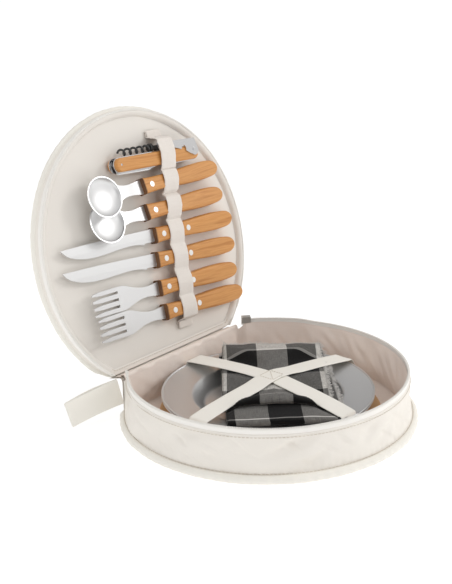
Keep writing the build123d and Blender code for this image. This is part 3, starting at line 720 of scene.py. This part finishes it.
def base_shell(mats):
    made = []
    path, normal, at = d_path(RADIUS, 900)
    levels = np.linspace(0, 1, 26)

    def wall(i, x, y):
        top = rim_height(y)
        back = near_back(y)
        row = []
        for t in levels:
            z = 0.0068 + (top - 0.0068) * t
            lean = wall_offset(x, y, z) * (1 - back) + 0.0006 * back
            fade = math.sin(math.pi * min(1, max(0, t))) ** 0.6
            slant = at[i] + 0.9 * z
            drape = 0.0026 * wave((x, y, z * 0.5), 22, 3.1) + 0.0019 * wave((slant, 0.3, z * 0.4), 52, 8.2)
            crease = (
                0.0062 * max(0, wave((slant, 1.7, z * 1.8), 38, 17.0)) ** 1.4
                + 0.0030 * max(0, wave((at[i] - 1.4 * z, 3.7, z), 90, 2.0)) ** 1.4
            )
            pucker = 0.00028 * math.sin(at[i] * 900 + 3 * wave((x, y), 30)) * (1 - t) ** 6
            calm = 1 - 0.95 * ease(y, 0.078, 0.1005)
            row.append((lean + fade * (drape - crease) * calm + pucker * (1 - back) - 0.0002, z))
        row.append((row[-1][0] - 0.0008, top + 0.0003))
        row.append((row[-2][0] - 0.0013, top - 0.0006))
        return row

    obj = sweep("base_wall_cloth", path, normal, wall, mats["canvas"], flip=True)
    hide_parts("base_side_band")
    made.append(obj)

    def roll(i, x, y):
        """A thick bound edge; a sewn-down flange with a round outside."""
        puff = 1 + 0.14 * wave((x, y), 42, 5) + 0.05 * math.sin(at[i] * 620 + 3 * wave((x, y), 20))
        flat = near_back(y)
        left = 0.0016 * max(0, -x - y) / 0.18
        reach = (0.0046 + left - 0.0020 * flat) * puff
        shape = [
            (-0.0030, 0.0002), (0.0, 0.00005), (0.55, 0.0004), (0.9, 0.0018), (1.0, 0.0036), (0.92, 0.0054),
            (0.6, 0.0069), (0.25, 0.0075), (-0.05, 0.0073)
        ]
        row = [(-0.0004 + reach * a, z * (1 + 0.04 * (puff - 1))) for a, z in shape[1:]]
        return [shape[0]] + row + [(-0.0010, 0.0069), (-0.0016, 0.0060)]

    obj = sweep("base_bottom_roll", path, normal, roll, mats["canvas_binding"])
    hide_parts("base_bottom_piping")
    made.append(obj)

    def underside(x, y):
        edge = ease(math.hypot(x, y), 0.118, 0.131)
        return (x, y, 0.0003 + 0.0005 * (1 - edge) * (0.5 + 0.5 * wave((x, y), 22, 2)))

    obj = disc("base_underside_cloth", path + normal * -0.0012, 28, underside, mats["canvas"])
    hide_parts("base_floor_panel", "base_floor_board")
    made.append(obj)

    depth = np.linspace(0, 1, 30)

    def lining(i, x, y):
        back = ease(y, 0.0975, 0.1035)
        top = 0.0432 - 0.0062 * back
        start = -0.0030 - wall_lean(x, y) * 0.9 * (1 - back) + 0.0008 * back
        row = []
        for t in depth:
            z = top + (0.0036 - top) * t
            billow = math.sin(math.pi * t) ** 0.8
            fold = wave((x, y, z * 0.5), 44, 1.3) + 0.7 * wave((at[i] + 0.8 * z, 0.2, z * 0.6), 100, 6.1)
            inward = billow * (
                0.0012 + 0.0044 * (0.45 + 0.55 * fold)
            ) * (1 - 0.62 * back) * (1 - 0.8 * beside_fork(x, y) * (1 - t))
            sag = 0.0022 * t * t
            row.append((start - sag * (1 - back) - inward, z))
        row.append((start - 0.0045, 0.0033))
        row.append((start - 0.0110, 0.0032))
        return row

    obj = sweep("base_lining_wall", path, normal, lining, mats["inner"])
    made.append(obj)

    def floor_cloth(x, y):
        return (x, y, 0.0033 + 0.0002 * wave((x, y), 60, 4))

    floor = disc(
        "base_lining_floor", path + normal * -0.0125, 24, floor_cloth, mats["inner"], flip=True
    )
    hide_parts("base_lining")
    made.append(floor)

    # Zip tape, its teeth, and the sewn lines, open round the front only.
    arc, arc_normal = open_path(0.1015)

    def lean_at(i):
        x, y = arc[i]
        return -0.0012 - wall_lean(x, y) * (1 - near_back(y))

    def tape(i, x, y):
        o = lean_at(i) + 0.0002 * wave((x, y), 40, 9)
        lift = 0.00025 * wave((x, y), 55, 12)
        low = 0.0406
        return [
            (o - 0.0010, low + 0.001), (o - 0.0010, 0.0450 + lift), (o - 0.0009, 0.0461 + lift),
            (o - 0.0003, 0.0464 + lift), (o + 0.0002, 0.0461 + lift), (o + 0.0003, 0.0448 + lift),
            (o + 0.0004, low)
        ]

    obj = sweep("base_zip_tape_cloth", arc, arc_normal, tape, mats["zip_tape"], close=False, flip=True)
    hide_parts("base_zip_tape")
    made.append(obj)
    line = [
        (x + nx * (lean_at(i) - 0.0004), y + ny * (lean_at(i) - 0.0004), 0.0466)
        for i, ((x, y), (nx, ny)) in enumerate(zip(arc, arc_normal))
    ]
    ups = [(0, 0, 1)] * len(line)
    outs = [(nx, ny, 0) for nx, ny in arc_normal]
    obj = teeth("base_zip_coil", line, ups, outs, 0.00135, (0.00085, 0.0023, 0.0012), mats["zip_teeth"])
    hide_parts("base_zip_teeth")
    made.append(obj)
    for name, z, out in (("base_stitch_top", 0.0392, 0.0001), ("base_stitch_bottom", 0.0082, 0.0005)):
        pts = []
        for (x, y), (nx, ny) in zip(arc, arc_normal):
            o = wall_offset(x, y, z) + out
            pts.append((x + nx * o, y + ny * o, z + 0.0002 * wave((x, y), 20, 7)))
        made.append(
            stitches(name, pts, outs, 0.0024, 0.0009, 0.00022, mats["thread"])
        )
    for obj in made:
        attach(obj, "case_base")
    return made


# ---------------------------------------------------------------- fold between the halves
def spine(mats):
    """One double cloth from the base's back wall, over the fold, on to the lid."""
    edge = (BACK + 0.0012)
    half = 0.0805
    outside = [
        (edge + 0.0006, 0.0012), (edge + 0.0008, 0.010), (edge + 0.0009, 0.020), (edge + 0.0007, 0.029),
        (edge + 0.0010, 0.0335), (edge + 0.0024, 0.0357), (edge + 0.0048, 0.0361),
    ]
    inside = [
        (BACK - 0.0021, 0.0300), (BACK - 0.0020, 0.0345), (BACK - 0.0017, 0.0382), (BACK - 0.0004, 0.0402),
        (BACK + 0.0014, 0.0403), (BACK + 0.0034, 0.0390)
    ]
    lid_side = [(-BACK + 0.0002, w) for w in (0.0088, 0.0060, 0.0036, 0.0016, 0.0004)]
    lid_back = [(-BACK - 0.0014, w) for w in (0.0080, 0.0040, 0.0, -0.0040, -0.0078)]
    columns = np.linspace(-half, half, 150)
    rows_in, rows_out = [], []
    for x in columns:
        ruck = 0.0011 * wave((x, 0, 0), 75, 4) + 0.0006 * wave((x, 0, 0), 160, 9)
        near = 1 - ease(abs(x), 0.0730, 0.0800)
        row = []
        for k, (y, z) in enumerate(inside):
            lift = ruck * (0.4 + 0.6 * math.sin(k / 5 * math.pi))
            row.append((x, y + 0.5 * lift * (1 if k < 3 else -1), z + lift * near))
        for v, w in lid_side:
            p = to_lid((x, v + 0.25 * ruck, w + 0.4 * ruck))
            row.append(tuple(p))
        rows_in.append(row)
        row = [(x, y + 0.35 * ruck, z) for y, z in outside]
        for v, w in lid_back:
            row.append(tuple(to_lid((x, v - 0.3 * ruck, w))))
        rows_out.append(row)
    made = []
    for name, rows, flip in (("spine_inner_cloth", rows_in, True), ("spine_outer_cloth", rows_out, False)):
        obj = grid(
            name, smooth_rows(rows, 4), mats["canvas"] if "outer" in name else mats["inner"], flip=flip
        )
        made.append(obj)
    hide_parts("base_spine", "lid_spine")
    for obj in made:
        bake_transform(obj)
    return made


def smooth_rows(rows, parts):
    """Resamples every row along a Catmull-Rom curve through its points."""
    rows = np.asarray(rows, float)
    out = []
    for row in rows:
        pts = np.vstack([2 * row[0] - row[1], row, 2 * row[-1] - row[-2]])
        line = []
        for i in range(1, len(pts) - 2):
            for t in np.linspace(0, 1, parts, endpoint=False):
                a, b, c, d = pts[i - 1:i + 3]
                line.append(
                    0.5
                    * (
                        2 * b + (c - a) * t + (2 * a - 5 * b + 4 * c - d) * t * t
                        + (3 * b - a - 3 * c + d) * t ** 3
                    )
                )
        line.append(row[-1])
        out.append(line)
    return out


# ---------------------------------------------------------------- lid
def lid_shell(mats):
    made = []
    path, normal, at = d_path(RADIUS, 900)
    seam = 0.1250

    def put(p):
        return tuple(to_lid((p[0], -p[1], p[2])))

    def margin(i, x, y):
        """From the zip tape's edge, over a padded margin, down into the sewn seam round the lining."""
        back = ease(y, 0.0975, 0.1035)
        puff = 1 + 0.10 * wave((x, y), 34, 2) + 0.05 * wave((x, y), 90, 5)
        deep = RADIUS - seam
        shape = [
            (-0.0011, 0.0015), (-0.0012, 0.0028), (-0.0016, 0.0033), (-0.0026, 0.0034), (-0.0038, 0.0031),
            (-0.0048, 0.0025), (-0.0056, 0.0019), (-0.0062, 0.0009), (-deep, 0.0001),
            (-deep - 0.0006, -0.0004)
        ]
        return [
            (o - 0.0002 * (puff - 1), (w * (1 if k < 2 else puff)) * (1 - 0.75 * back))
            for k, (o, w) in enumerate(shape)
        ]

    obj = sweep("lid_margin_roll", path, normal, margin, mats["lining"], put)
    made.append(obj)

    def crown(x, y):
        r = math.hypot(x, y)
        edge = max(ease(r, seam - 0.012, seam + 0.0004), ease(y, BACK - 0.018, BACK - 0.0065))
        ripple = 0.00035 * wave((x, y), 24, 6) + 0.0002 * wave((x, y), 60, 3)
        pull = 0.0006 * ease(r, 0.098, 0.121) * abs(wave((x, y), 42, 11))
        return put((x, y, -0.0003 + ripple - pull * (1 - edge) - 0.0004 * edge))

    inner = path - normal * (RADIUS - seam + 0.0004)
    obj = disc("lid_lining_panel", inner, 60, crown, mats["lining"])
    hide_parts("lid_lining", "lid_padded_board")
    made.append(obj)

    arc, arc_normal = open_path(0.1025)

    def tape(i, x, y):
        o = -0.0006 + 0.00015 * wave((x, y), 40, 9)
        return [
            (o - 0.0006, 0.0010), (o - 0.0006, 0.0030), (o - 0.0003, 0.0036), (o + 0.0003, 0.0036),
            (o + 0.0006, 0.0030), (o + 0.0008, -0.0012)
        ]

    obj = sweep("lid_zip_tape_cloth", arc, arc_normal, tape, mats["zip_tape"], put, close=False)
    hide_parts("lid_zip_tape")
    made.append(obj)
    zip_arc = arc[:, 1] < 0.0880
    line = [
        put((x - nx * 0.0006, y - ny * 0.0006, 0.0034))
        for (x, y), (nx, ny) in zip(arc[zip_arc], arc_normal[zip_arc])
    ]
    outs = [tuple(LID.to_3x3() @ Vector((nx, -ny, 0))) for nx, ny in arc_normal[zip_arc]]
    obj = teeth(
        "lid_zip_coil", line, [tuple(OUT_OF_LID)] * len(line), outs, 0.00135, (0.00085, 0.0021, 0.0010),
        mats["zip_teeth"]
    )
    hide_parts("lid_zip_teeth")
    made.append(obj)

    def side(i, x, y):
        back = near_back(y)
        row = []
        for t in np.linspace(0, 1, 12):
            w = 0.0006 - 0.0088 * t
            sway = 0.0004 * wave((x, y, w), 45, 3) * math.sin(math.pi * t)
            bulge = 0.0016 * math.sin(math.pi * min(1, t * 0.8)) * (1 - ease(y, 0.084, 0.1035))
            row.append((-0.0006 * (1 - t) + bulge + sway - 0.0004 * back, w))
        return row

    obj = sweep("lid_side_cloth", path, normal, side, mats["canvas"], put)
    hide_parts("lid_side_band")
    made.append(obj)

    def roll(i, x, y):
        puff = 1 + 0.08 * wave((x, y), 50, 7) + 0.03 * math.sin(at[i] * 650)
        back = ease(y, 0.0880, 0.1035)
        reach = (0.0042 - 0.0032 * back) * puff
        shape = [
            (-0.0030, -0.0085), (0.0, -0.0090), (0.6, -0.0086), (0.95, -0.0072), (1.0, -0.0056),
            (0.85, -0.0042), (0.35, -0.0034), (-0.1, -0.0032)
        ]
        return [shape[0]] + [(-0.0002 + reach * a, w) for a, w in shape[1:]]

    obj = sweep("lid_outer_roll", path, normal, roll, mats["canvas_binding"], put, flip=True)
    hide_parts("lid_piping")
    made.append(obj)

    def outer(x, y):
        r = math.hypot(x, y)
        edge = max(ease(r, 0.105, 0.1305), ease(y, BACK - 0.02, BACK - 0.001))
        ripple = 0.0005 * wave((x, y), 20, 9) + 0.0003 * wave((x, y), 55, 2)
        return put((x, y, -0.0094 + 0.0010 * edge - (0.0006 + ripple) * (1 - edge)))

    obj = disc("lid_outer_cloth", path - normal * 0.0010, 50, outer, mats["canvas"], flip=True)
    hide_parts("lid_outer_panel")
    made.append(obj)

    seam_line = [
        put((x - nx * (RADIUS - seam - 0.0012), y - ny * (RADIUS - seam - 0.0012), 0.0014))
        for (x, y), (nx, ny) in zip(path, normal)
    ]
    obj = stitches(
        "lid_seam_stitch", seam_line, [tuple(OUT_OF_LID)] * len(seam_line), 0.0022, 0.0009, 0.00020,
        mats["thread"]
    )
    made.append(obj)
    for obj in made:
        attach(obj, "lid")
    return made


TAPE_TOP = (0.0368, 0.0900)
TAPE_SLANT = math.radians(4.9)
TAPE_WIDTH = 0.0196
TAPE_END_WIDTH = 0.0184
# thickness of what the tape crosses, half width of the loop over it, shift of its middle
HANDLE_LOOP = (0.0119, 0.0098, 0.0)
CORKSCREW_LOOP = (0.0183, 0.0142, 0.0026)
# between handles the tight tape stays this far off the lining, and outside them it lies on it
TAPE_DIP, TAPE_LOW = 0.0100, 0.0011


def cutlery_tape(mats):
    """One tape drawn over every handle, sewn to the lining at its two ends."""
    slope = math.tan(TAPE_SLANT)
    top_u, top_v = TAPE_TOP
    crossings = []
    for name, ((u, v), tilt, pitch, roll, height) in PLACES.items():
        t = math.radians(tilt)
        along = (u - top_u + (top_v - v) * slope) / (math.cos(t) + math.sin(t) * slope)
        thick, half, shift = CORKSCREW_LOOP if name == "corkscrew" else HANDLE_LOOP
        crown = (
            height + thick / 2 + along * math.sin(math.radians(pitch)) + 0.0009
            + 0.0110 * abs(math.sin(math.radians(pitch)))
        )
        crossings.append((v + shift + along * math.sin(t), crown, half, math.radians(roll)))
    crossings.sort(reverse=True)
    ends = (crossings[0][0] + 0.0205, crossings[-1][0] - 0.0165)
    line, widths = [], []
    steps = 460
    for k in range(steps):
        v = ends[0] + (ends[1] - ends[0]) * k / (steps - 1)
        # Drawn tight: between two handles the tape dips only a little way down.
        inside = crossings[-1][0] < v < crossings[0][0]
        floor_w = TAPE_DIP if inside else TAPE_LOW
        w = floor_w
        for centre, crown, half, roll in crossings:
            d = v - centre
            reach = half + 0.0040
            if abs(d) < reach:
                rise = 1 - ease(abs(d), half - 0.0006, reach)
                dome = 1 - 0.10 * (d / half) ** 2 - 0.05 * abs(d / half)
                w = max(w, floor_w + (crown * dome + math.sin(roll) * d * 0.6 - floor_w) * rise)
        widths.append(TAPE_WIDTH + 0.0007 * wave((v, w), 90, 3) + 0.0004 * wave((v, w), 220, 5))
        line.append(to_lid((top_u - (top_v - v) * slope + 0.0006 * wave((v, 0), 60, 8), v, w)))
    sides = [LID.to_3x3() @ Vector((math.cos(TAPE_SLANT), -math.sin(TAPE_SLANT), 0))] * steps
    obj = ribbon("cutlery_tape_loops", line, sides, widths, 0.0009, mats["loop_tape"])
    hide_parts("cutlery_tape")
    made = [obj]
    # The folded ends and the threads that hold them down.
    for k, v in enumerate([ends[0] - 0.0022, ends[1] + 0.0022]):
        u = top_u - (top_v - v) * slope
        pts = [to_lid((u + s, v - s * slope, TAPE_LOW + 0.0005)) for s in np.linspace(-0.0080, 0.0080, 12)]
        obj = stitches(f"tape_stitch_{k}", pts, [OUT_OF_LID] * 12, 0.0019, 0.0007, 0.00022, mats["thread"])
        made.append(obj)
    for name, v, sign in (("tape_end_top", ends[0], 1), ("tape_end_bottom", ends[1], -1)):
        u = top_u - (top_v - v) * slope
        pts = []
        for t in np.linspace(0, 1, 16):
            out = 0.0034 * math.sin(math.pi * min(1, t * 1.1))
            lift = TAPE_LOW + 0.0004 + 0.0018 * t
            pts.append(to_lid((u, v + sign * (out - 0.0002) - sign * 0.0070 * max(0, t - 0.5), lift)))
        obj = ribbon(name, pts, [sides[0]] * 16, TAPE_END_WIDTH, 0.0008, mats["loop_tape"])
        made.append(obj)
    for obj in made:
        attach(obj, "lid")
    return made


# ---------------------------------------------------------------- contents of the base
CROSS = (0.0066, 0.0007)
STACK_Z = 0.0282


def strap_height(t):
    """Height of a strap's middle over the stack: drawn down behind the plates' rim at both ends."""
    return 0.0296 + 0.0058 * max(0.0, 1 - (t / 0.100) ** 2)


def straps(mats):
    made = []
    for name, axis, offset, lift, reach in (
        ("strap_front_to_back", "y", CROSS[0], 0.0, (-0.1065, 0.0992)),
        ("strap_side_to_side", "x", CROSS[1], 0.0013, (-0.1080, 0.1070)),
    ):
        line, sides, widths = [], [], []
        for s in np.linspace(reach[0], reach[1], 260):
            z = strap_height(s) + lift * (1 - ease(abs(s - CROSS[0] if axis == "x" else s), 0.010, 0.030))
            far = 0.0935 if not (axis == "y" and s > 0) else 0.0962
            z -= 0.0190 * ease(abs(s), far, far + 0.0125 if far < 0.096 else far + 0.0030)
            sway = 0.0008 * wave((s, offset), 18, 5)
            roll = 0.05 * wave((s, offset), 14, 2)
            drift = -0.22 * max(0, s - 0.01) if axis == "x" else -0.18 * max(0, -s - 0.01) if s < 0 else 0.0
            p = (offset + sway + drift, s, z) if axis == "y" else (s, offset + sway + drift, z)
            line.append(p)
            sides.append((1, 0, roll) if axis == "y" else (0, 1, roll))
            widths.append(0.0198 + 0.0003 * wave((s, 0), 60, 4))
        obj = ribbon(name + "_webbing", line, sides, widths, 0.0010, mats["webbing"])
        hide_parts(name)
        made.append(obj)
    # The sewn crossing: a box of stitches with its diagonals.
    cx, cy, z, h = CROSS[0], CROSS[1], strap_height(0) + 0.0019, 0.0078
    box = [(-h, -h), (h, -h), (h, h), (-h, h), (-h, -h), (h, h)]
    for k, ((ax, ay), (bx, by)) in enumerate(zip(box, box[1:])):
        pts = [(cx + ax + (bx - ax) * t, cy + ay + (by - ay) * t, z) for t in np.linspace(0, 1, 14)]
        obj = stitches(
            f"strap_cross_stitch_{k}", pts, [(0, 0, 1)] * 14, 0.0020, 0.0008, 0.00024, mats["thread"]
        )
        made.append(obj)
    for obj in made:
        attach(obj, "case_base")
        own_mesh(obj)
    return made


def carry_loop(mats):
    """Flat webbing doubled back on itself, sewn into the corner beside the fold."""
    root, fold = Vector((-0.0865, 0.1032, 0.0268)), Vector((-0.1345, 0.1230, 0.0133))
    side = Vector((0, 0, 1))
    ahead = (fold - root).normalized()
    out = ahead.cross(side).normalized()
    line, sides = [], []
    steps = 90
    for k in range(steps):
        t = k / (steps - 1)
        go = t * 2 if t < 0.5 else 2 - t * 2
        layer = 1 if t < 0.5 else -1
        bend = math.sqrt(max(0, 1 - max(0, (go - 0.955) / 0.045) ** 2))
        belly = 0.0022 * math.sin(math.pi * go) ** 2
        gap = (0.0009 + belly * (0.5 if layer > 0 else 0.25)) * bend
        curve = 0.0032 * math.sin(math.pi * go)
        line.append(
            root.lerp(fold, go * 0.985) + out * (layer * gap + curve * 0.4)
            + side * (0.0010 * math.sin(2.4 * go))
        )
        sides.append(side + ahead * (0.24 * go))
    obj = ribbon("carry_loop_webbing", line, sides, 0.0252, 0.0012, mats["webbing"])
    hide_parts("carry_handle")
    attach(obj, "carry_handle")
    return [obj]


def fold_cloth(s, t, flat, layer, roll):
    """Flat point (s, t) of a napkin -> folded place: in thirds across, then in half over a soft roll.
    Returns x, the distance from the free edges, and the height as a share of the thickness."""
    width, length = flat
    third = width / 3
    turn = math.pi * layer / 2
    zig = min(2, int(s / third))
    local = s - zig * third
    x = local if zig != 1 else third - local
    n = zig + 0.5 * (ease(local, third - turn, third) if zig < 2 else 0) - 0.5 * (
        ease(third - local, third - turn, third) if zig > 0 else 0
    )
    half = length / 2
    arc = math.pi * roll / 2
    inner = 0.42 * n / 2
    if t < half - arc:
        return third / 2 - x, t, inner
    if t > half + arc:
        return third / 2 - x, length - t, 1 - inner
    angle = (t - half + arc) / (2 * arc) * math.pi
    reach = roll * (1 - 0.5 * inner)
    return third / 2 - x, half - arc + reach * math.sin(angle), 0.5 - (0.5 - inner) * math.cos(angle)


NAPKINS = {
    # flat size, middle in the picture's own right/away axes, swing, its share of the stack, fold radius, seed
    "napkin_lower": ((0.300, 0.312), (0.0095, -0.0070), 1.8, (0.0, 0.44), 0.0022, 0.4),
    "napkin_upper": ((0.285, 0.270), (0.0065, 0.0070), -0.8, (0.50, 1.0), 0.0052, 5.3),
}
NAPKIN_TURN = math.radians(-48.7)
ASKEW = Matrix.Rotation(NAPKIN_TURN, 4, "Z")


def stack_height(px, py, away):
    """Room for the napkins over the plates: pinched under the straps, puffed and ruffled between them."""
    gap_a = abs(px - CROSS[0] + 0.18 * max(0.0, -py - 0.01))
    gap_b = abs(py - CROSS[1] + 0.22 * max(0.0, px - 0.01))
    free = ease(min(gap_a, gap_b), 0.0105, 0.0260)
    close = strap_height(math.hypot(px - CROSS[0], py - CROSS[1])) - 0.0012 - STACK_Z
    front = ease(-away, 0.030, 0.052) * ease(min(gap_a, gap_b), 0.0095, 0.0150)
    back = ease(away, 0.020, 0.062) * free
    ruffle = free * (0.0020 * wave((px, py), 30, 4.1) + 0.0010 * wave((px, py), 75, 7.7))
    return max(0.0022, close) + 0.0026 * free + 0.0072 * front + 0.0066 * back + ruffle


def napkin_point(name, s, t):
    flat, middle, swing, share, roll, seed = NAPKINS[name]
    x, y, f = fold_cloth(s, t, flat, 0.0003, roll)
    loose = ease(0.060 - y, 0.0, 0.060)
    x += 0.0011 * loose * wave((y, f), 40, seed) + 0.0007 * wave((y, f * 0.2), 22, seed + 3)
    y -= loose * (0.0016 * wave((x, f * 0.5), 45, seed + 1) + 0.0030 * (1 - f))
    spin = Matrix.Rotation(math.radians(swing), 4, "Z")
    local = spin @ Vector((x, flat[1] / 4 - y, 0))
    p = ASKEW @ Vector((local.x + middle[0], local.y + middle[1], 0))
    height = stack_height(p.x, p.y, local.y + middle[1])
    level = share[0] + (share[1] - share[0]) * f
    z = STACK_Z + height * level
    z += 0.0006 * loose * wave((x, y, f), 60, seed + 6) * level
    return (p.x, p.y, z)


def napkins(mats):
    """Two cotton napkins, folded in three and then in half, lying askew under the straps."""
    made = []
    for name, (flat, *_, seed) in NAPKINS.items():
        columns, rows_n = 118, 200
        rows = [
            [
                napkin_point(name, flat[0] * i / (columns - 1), flat[1] * j / (rows_n - 1))
                for i in range(columns)
            ]
            for j in range(rows_n)
        ]
        obj = grid(name + "_cloth", rows, mats["gingham"])
        if name == "napkin_lower":
            layer = obj.data.uv_layers[0].data
            uv = np.empty(len(layer) * 2)
            layer.foreach_get("uv", uv)
            uv[0::2] -= 0.030
            uv[1::2] -= 0.015
            layer.foreach_set("uv", uv)
        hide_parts(name)
        fringe = napkin_fringe(name, flat, seed, mats)
        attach(obj, "napkins")
        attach(fringe, "napkins")
        # Each piece gets a mesh of its own.
        for piece in (obj, fringe):
            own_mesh(piece)
        made += [obj, fringe]
    return made


def napkin_fringe(name, flat, seed, mats):
    """Short loose threads along the raw edges: both free ends and the side edge that shows."""
    rng = np.random.default_rng(int(seed * 10))
    verts, faces = [], []
    spots = []
    for s in np.arange(0.001, flat[0] - 0.001, 0.0006):
        spots += [((s, flat[1] - 0.0006), (0, 1)), ((s, 0.0006), (0, -1))]
    for t in np.arange(flat[1] / 2 + 0.004, flat[1] - 0.001, 0.0005):
        spots.append(((0.0005, t), (-1, 0)))
    for (s, t), (ds, dt) in spots:
        start = Vector(napkin_point(name, s, t))
        inside = Vector(napkin_point(name, s - ds * 0.0030, t - dt * 0.0030))
        out = (start - inside).normalized()
        side = out.cross(Vector((0, 0, 1))).normalized()
        long = rng.uniform(0.0024, 0.0052)
        bend = rng.uniform(-0.6, 0.6)
        rise = rng.uniform(-0.1, 0.8)
        base = len(verts)
        for k, u in enumerate((0, 0.35, 0.7, 1.0)):
            centre = start + out * (long * u) + side * (bend * long * u * u) + Vector((
                0, 0, rise * long * u - 0.4 * long * u * u
            ))
            r = 0.00028 * (1 - 0.18 * k)
            for a in (0, 2.09, 4.19):
                verts.append(centre + Vector((math.cos(a) * r, math.sin(a) * r * 0.7, math.sin(a) * r)))
        faces += tube_faces(base, 3, 3)
        faces += [(base + 2, base + 1, base), (base + 9, base + 10, base + 11)]
    return finish_mesh(name + "_fringe", verts, faces, None, mats["fringe"])


# ---------------------------------------------------------------- CAD nodes that stay
def paint(mats):
    def put(node, mat):
        mesh = NODES[node].data
        mesh.materials.clear()
        mesh.materials.append(mat)

    honey, tan = srgb(219, 160, 92), srgb(196, 132, 66)
    for k, name in enumerate(n for n in PLACES if n != "corkscrew"):
        part = "blade" if name.startswith("knife") else "head"
        # The span (0.1084, 0.1100) is where painted shade darkens each handle's front end face.
        grain = wood(f"handle_wood_{name}", place(name), honey, tan, (0.1084, 0.1100), 0.37 * k)
        put(f"{name}_handle", grain)
        put(f"{name}_{part}", mats["cutlery_steel"])
        put(f"{name}_rivets", mats["rivet_steel"])
    grain = wood("corkscrew_wood", place("corkscrew"), honey, tan, None, 3.3)
    put("corkscrew_scale_front", grain)
    put("corkscrew_scale_back", grain)
    put("corkscrew_frame", mats["chrome"])
    put("corkscrew_pins", mats["chrome"])
    put("corkscrew_lever", mats["chrome"])
    put("corkscrew_worm", mats["black_steel"])
    put("corkscrew_foil_blade", mats["cutlery_steel"])
    put(
        "cutting_board",
        wood("board_wood", Matrix.Rotation(0.6, 4, "Z"), srgb(190, 122, 72), srgb(134, 78, 42), None, 7.7)
    )
    put("lower_plate", mats["plate_steel"])
    put("upper_plate", mats["plate_steel"])
    put("zip_slider", mats["zip_metal"])
    put("zip_pull", mats["zip_metal"])


camera()
studio()
MATS = make_materials()
base_shell(MATS)
spine(MATS)
lid_shell(MATS)
cutlery_tape(MATS)
straps(MATS)
carry_loop(MATS)
napkins(MATS)
paint(MATS)
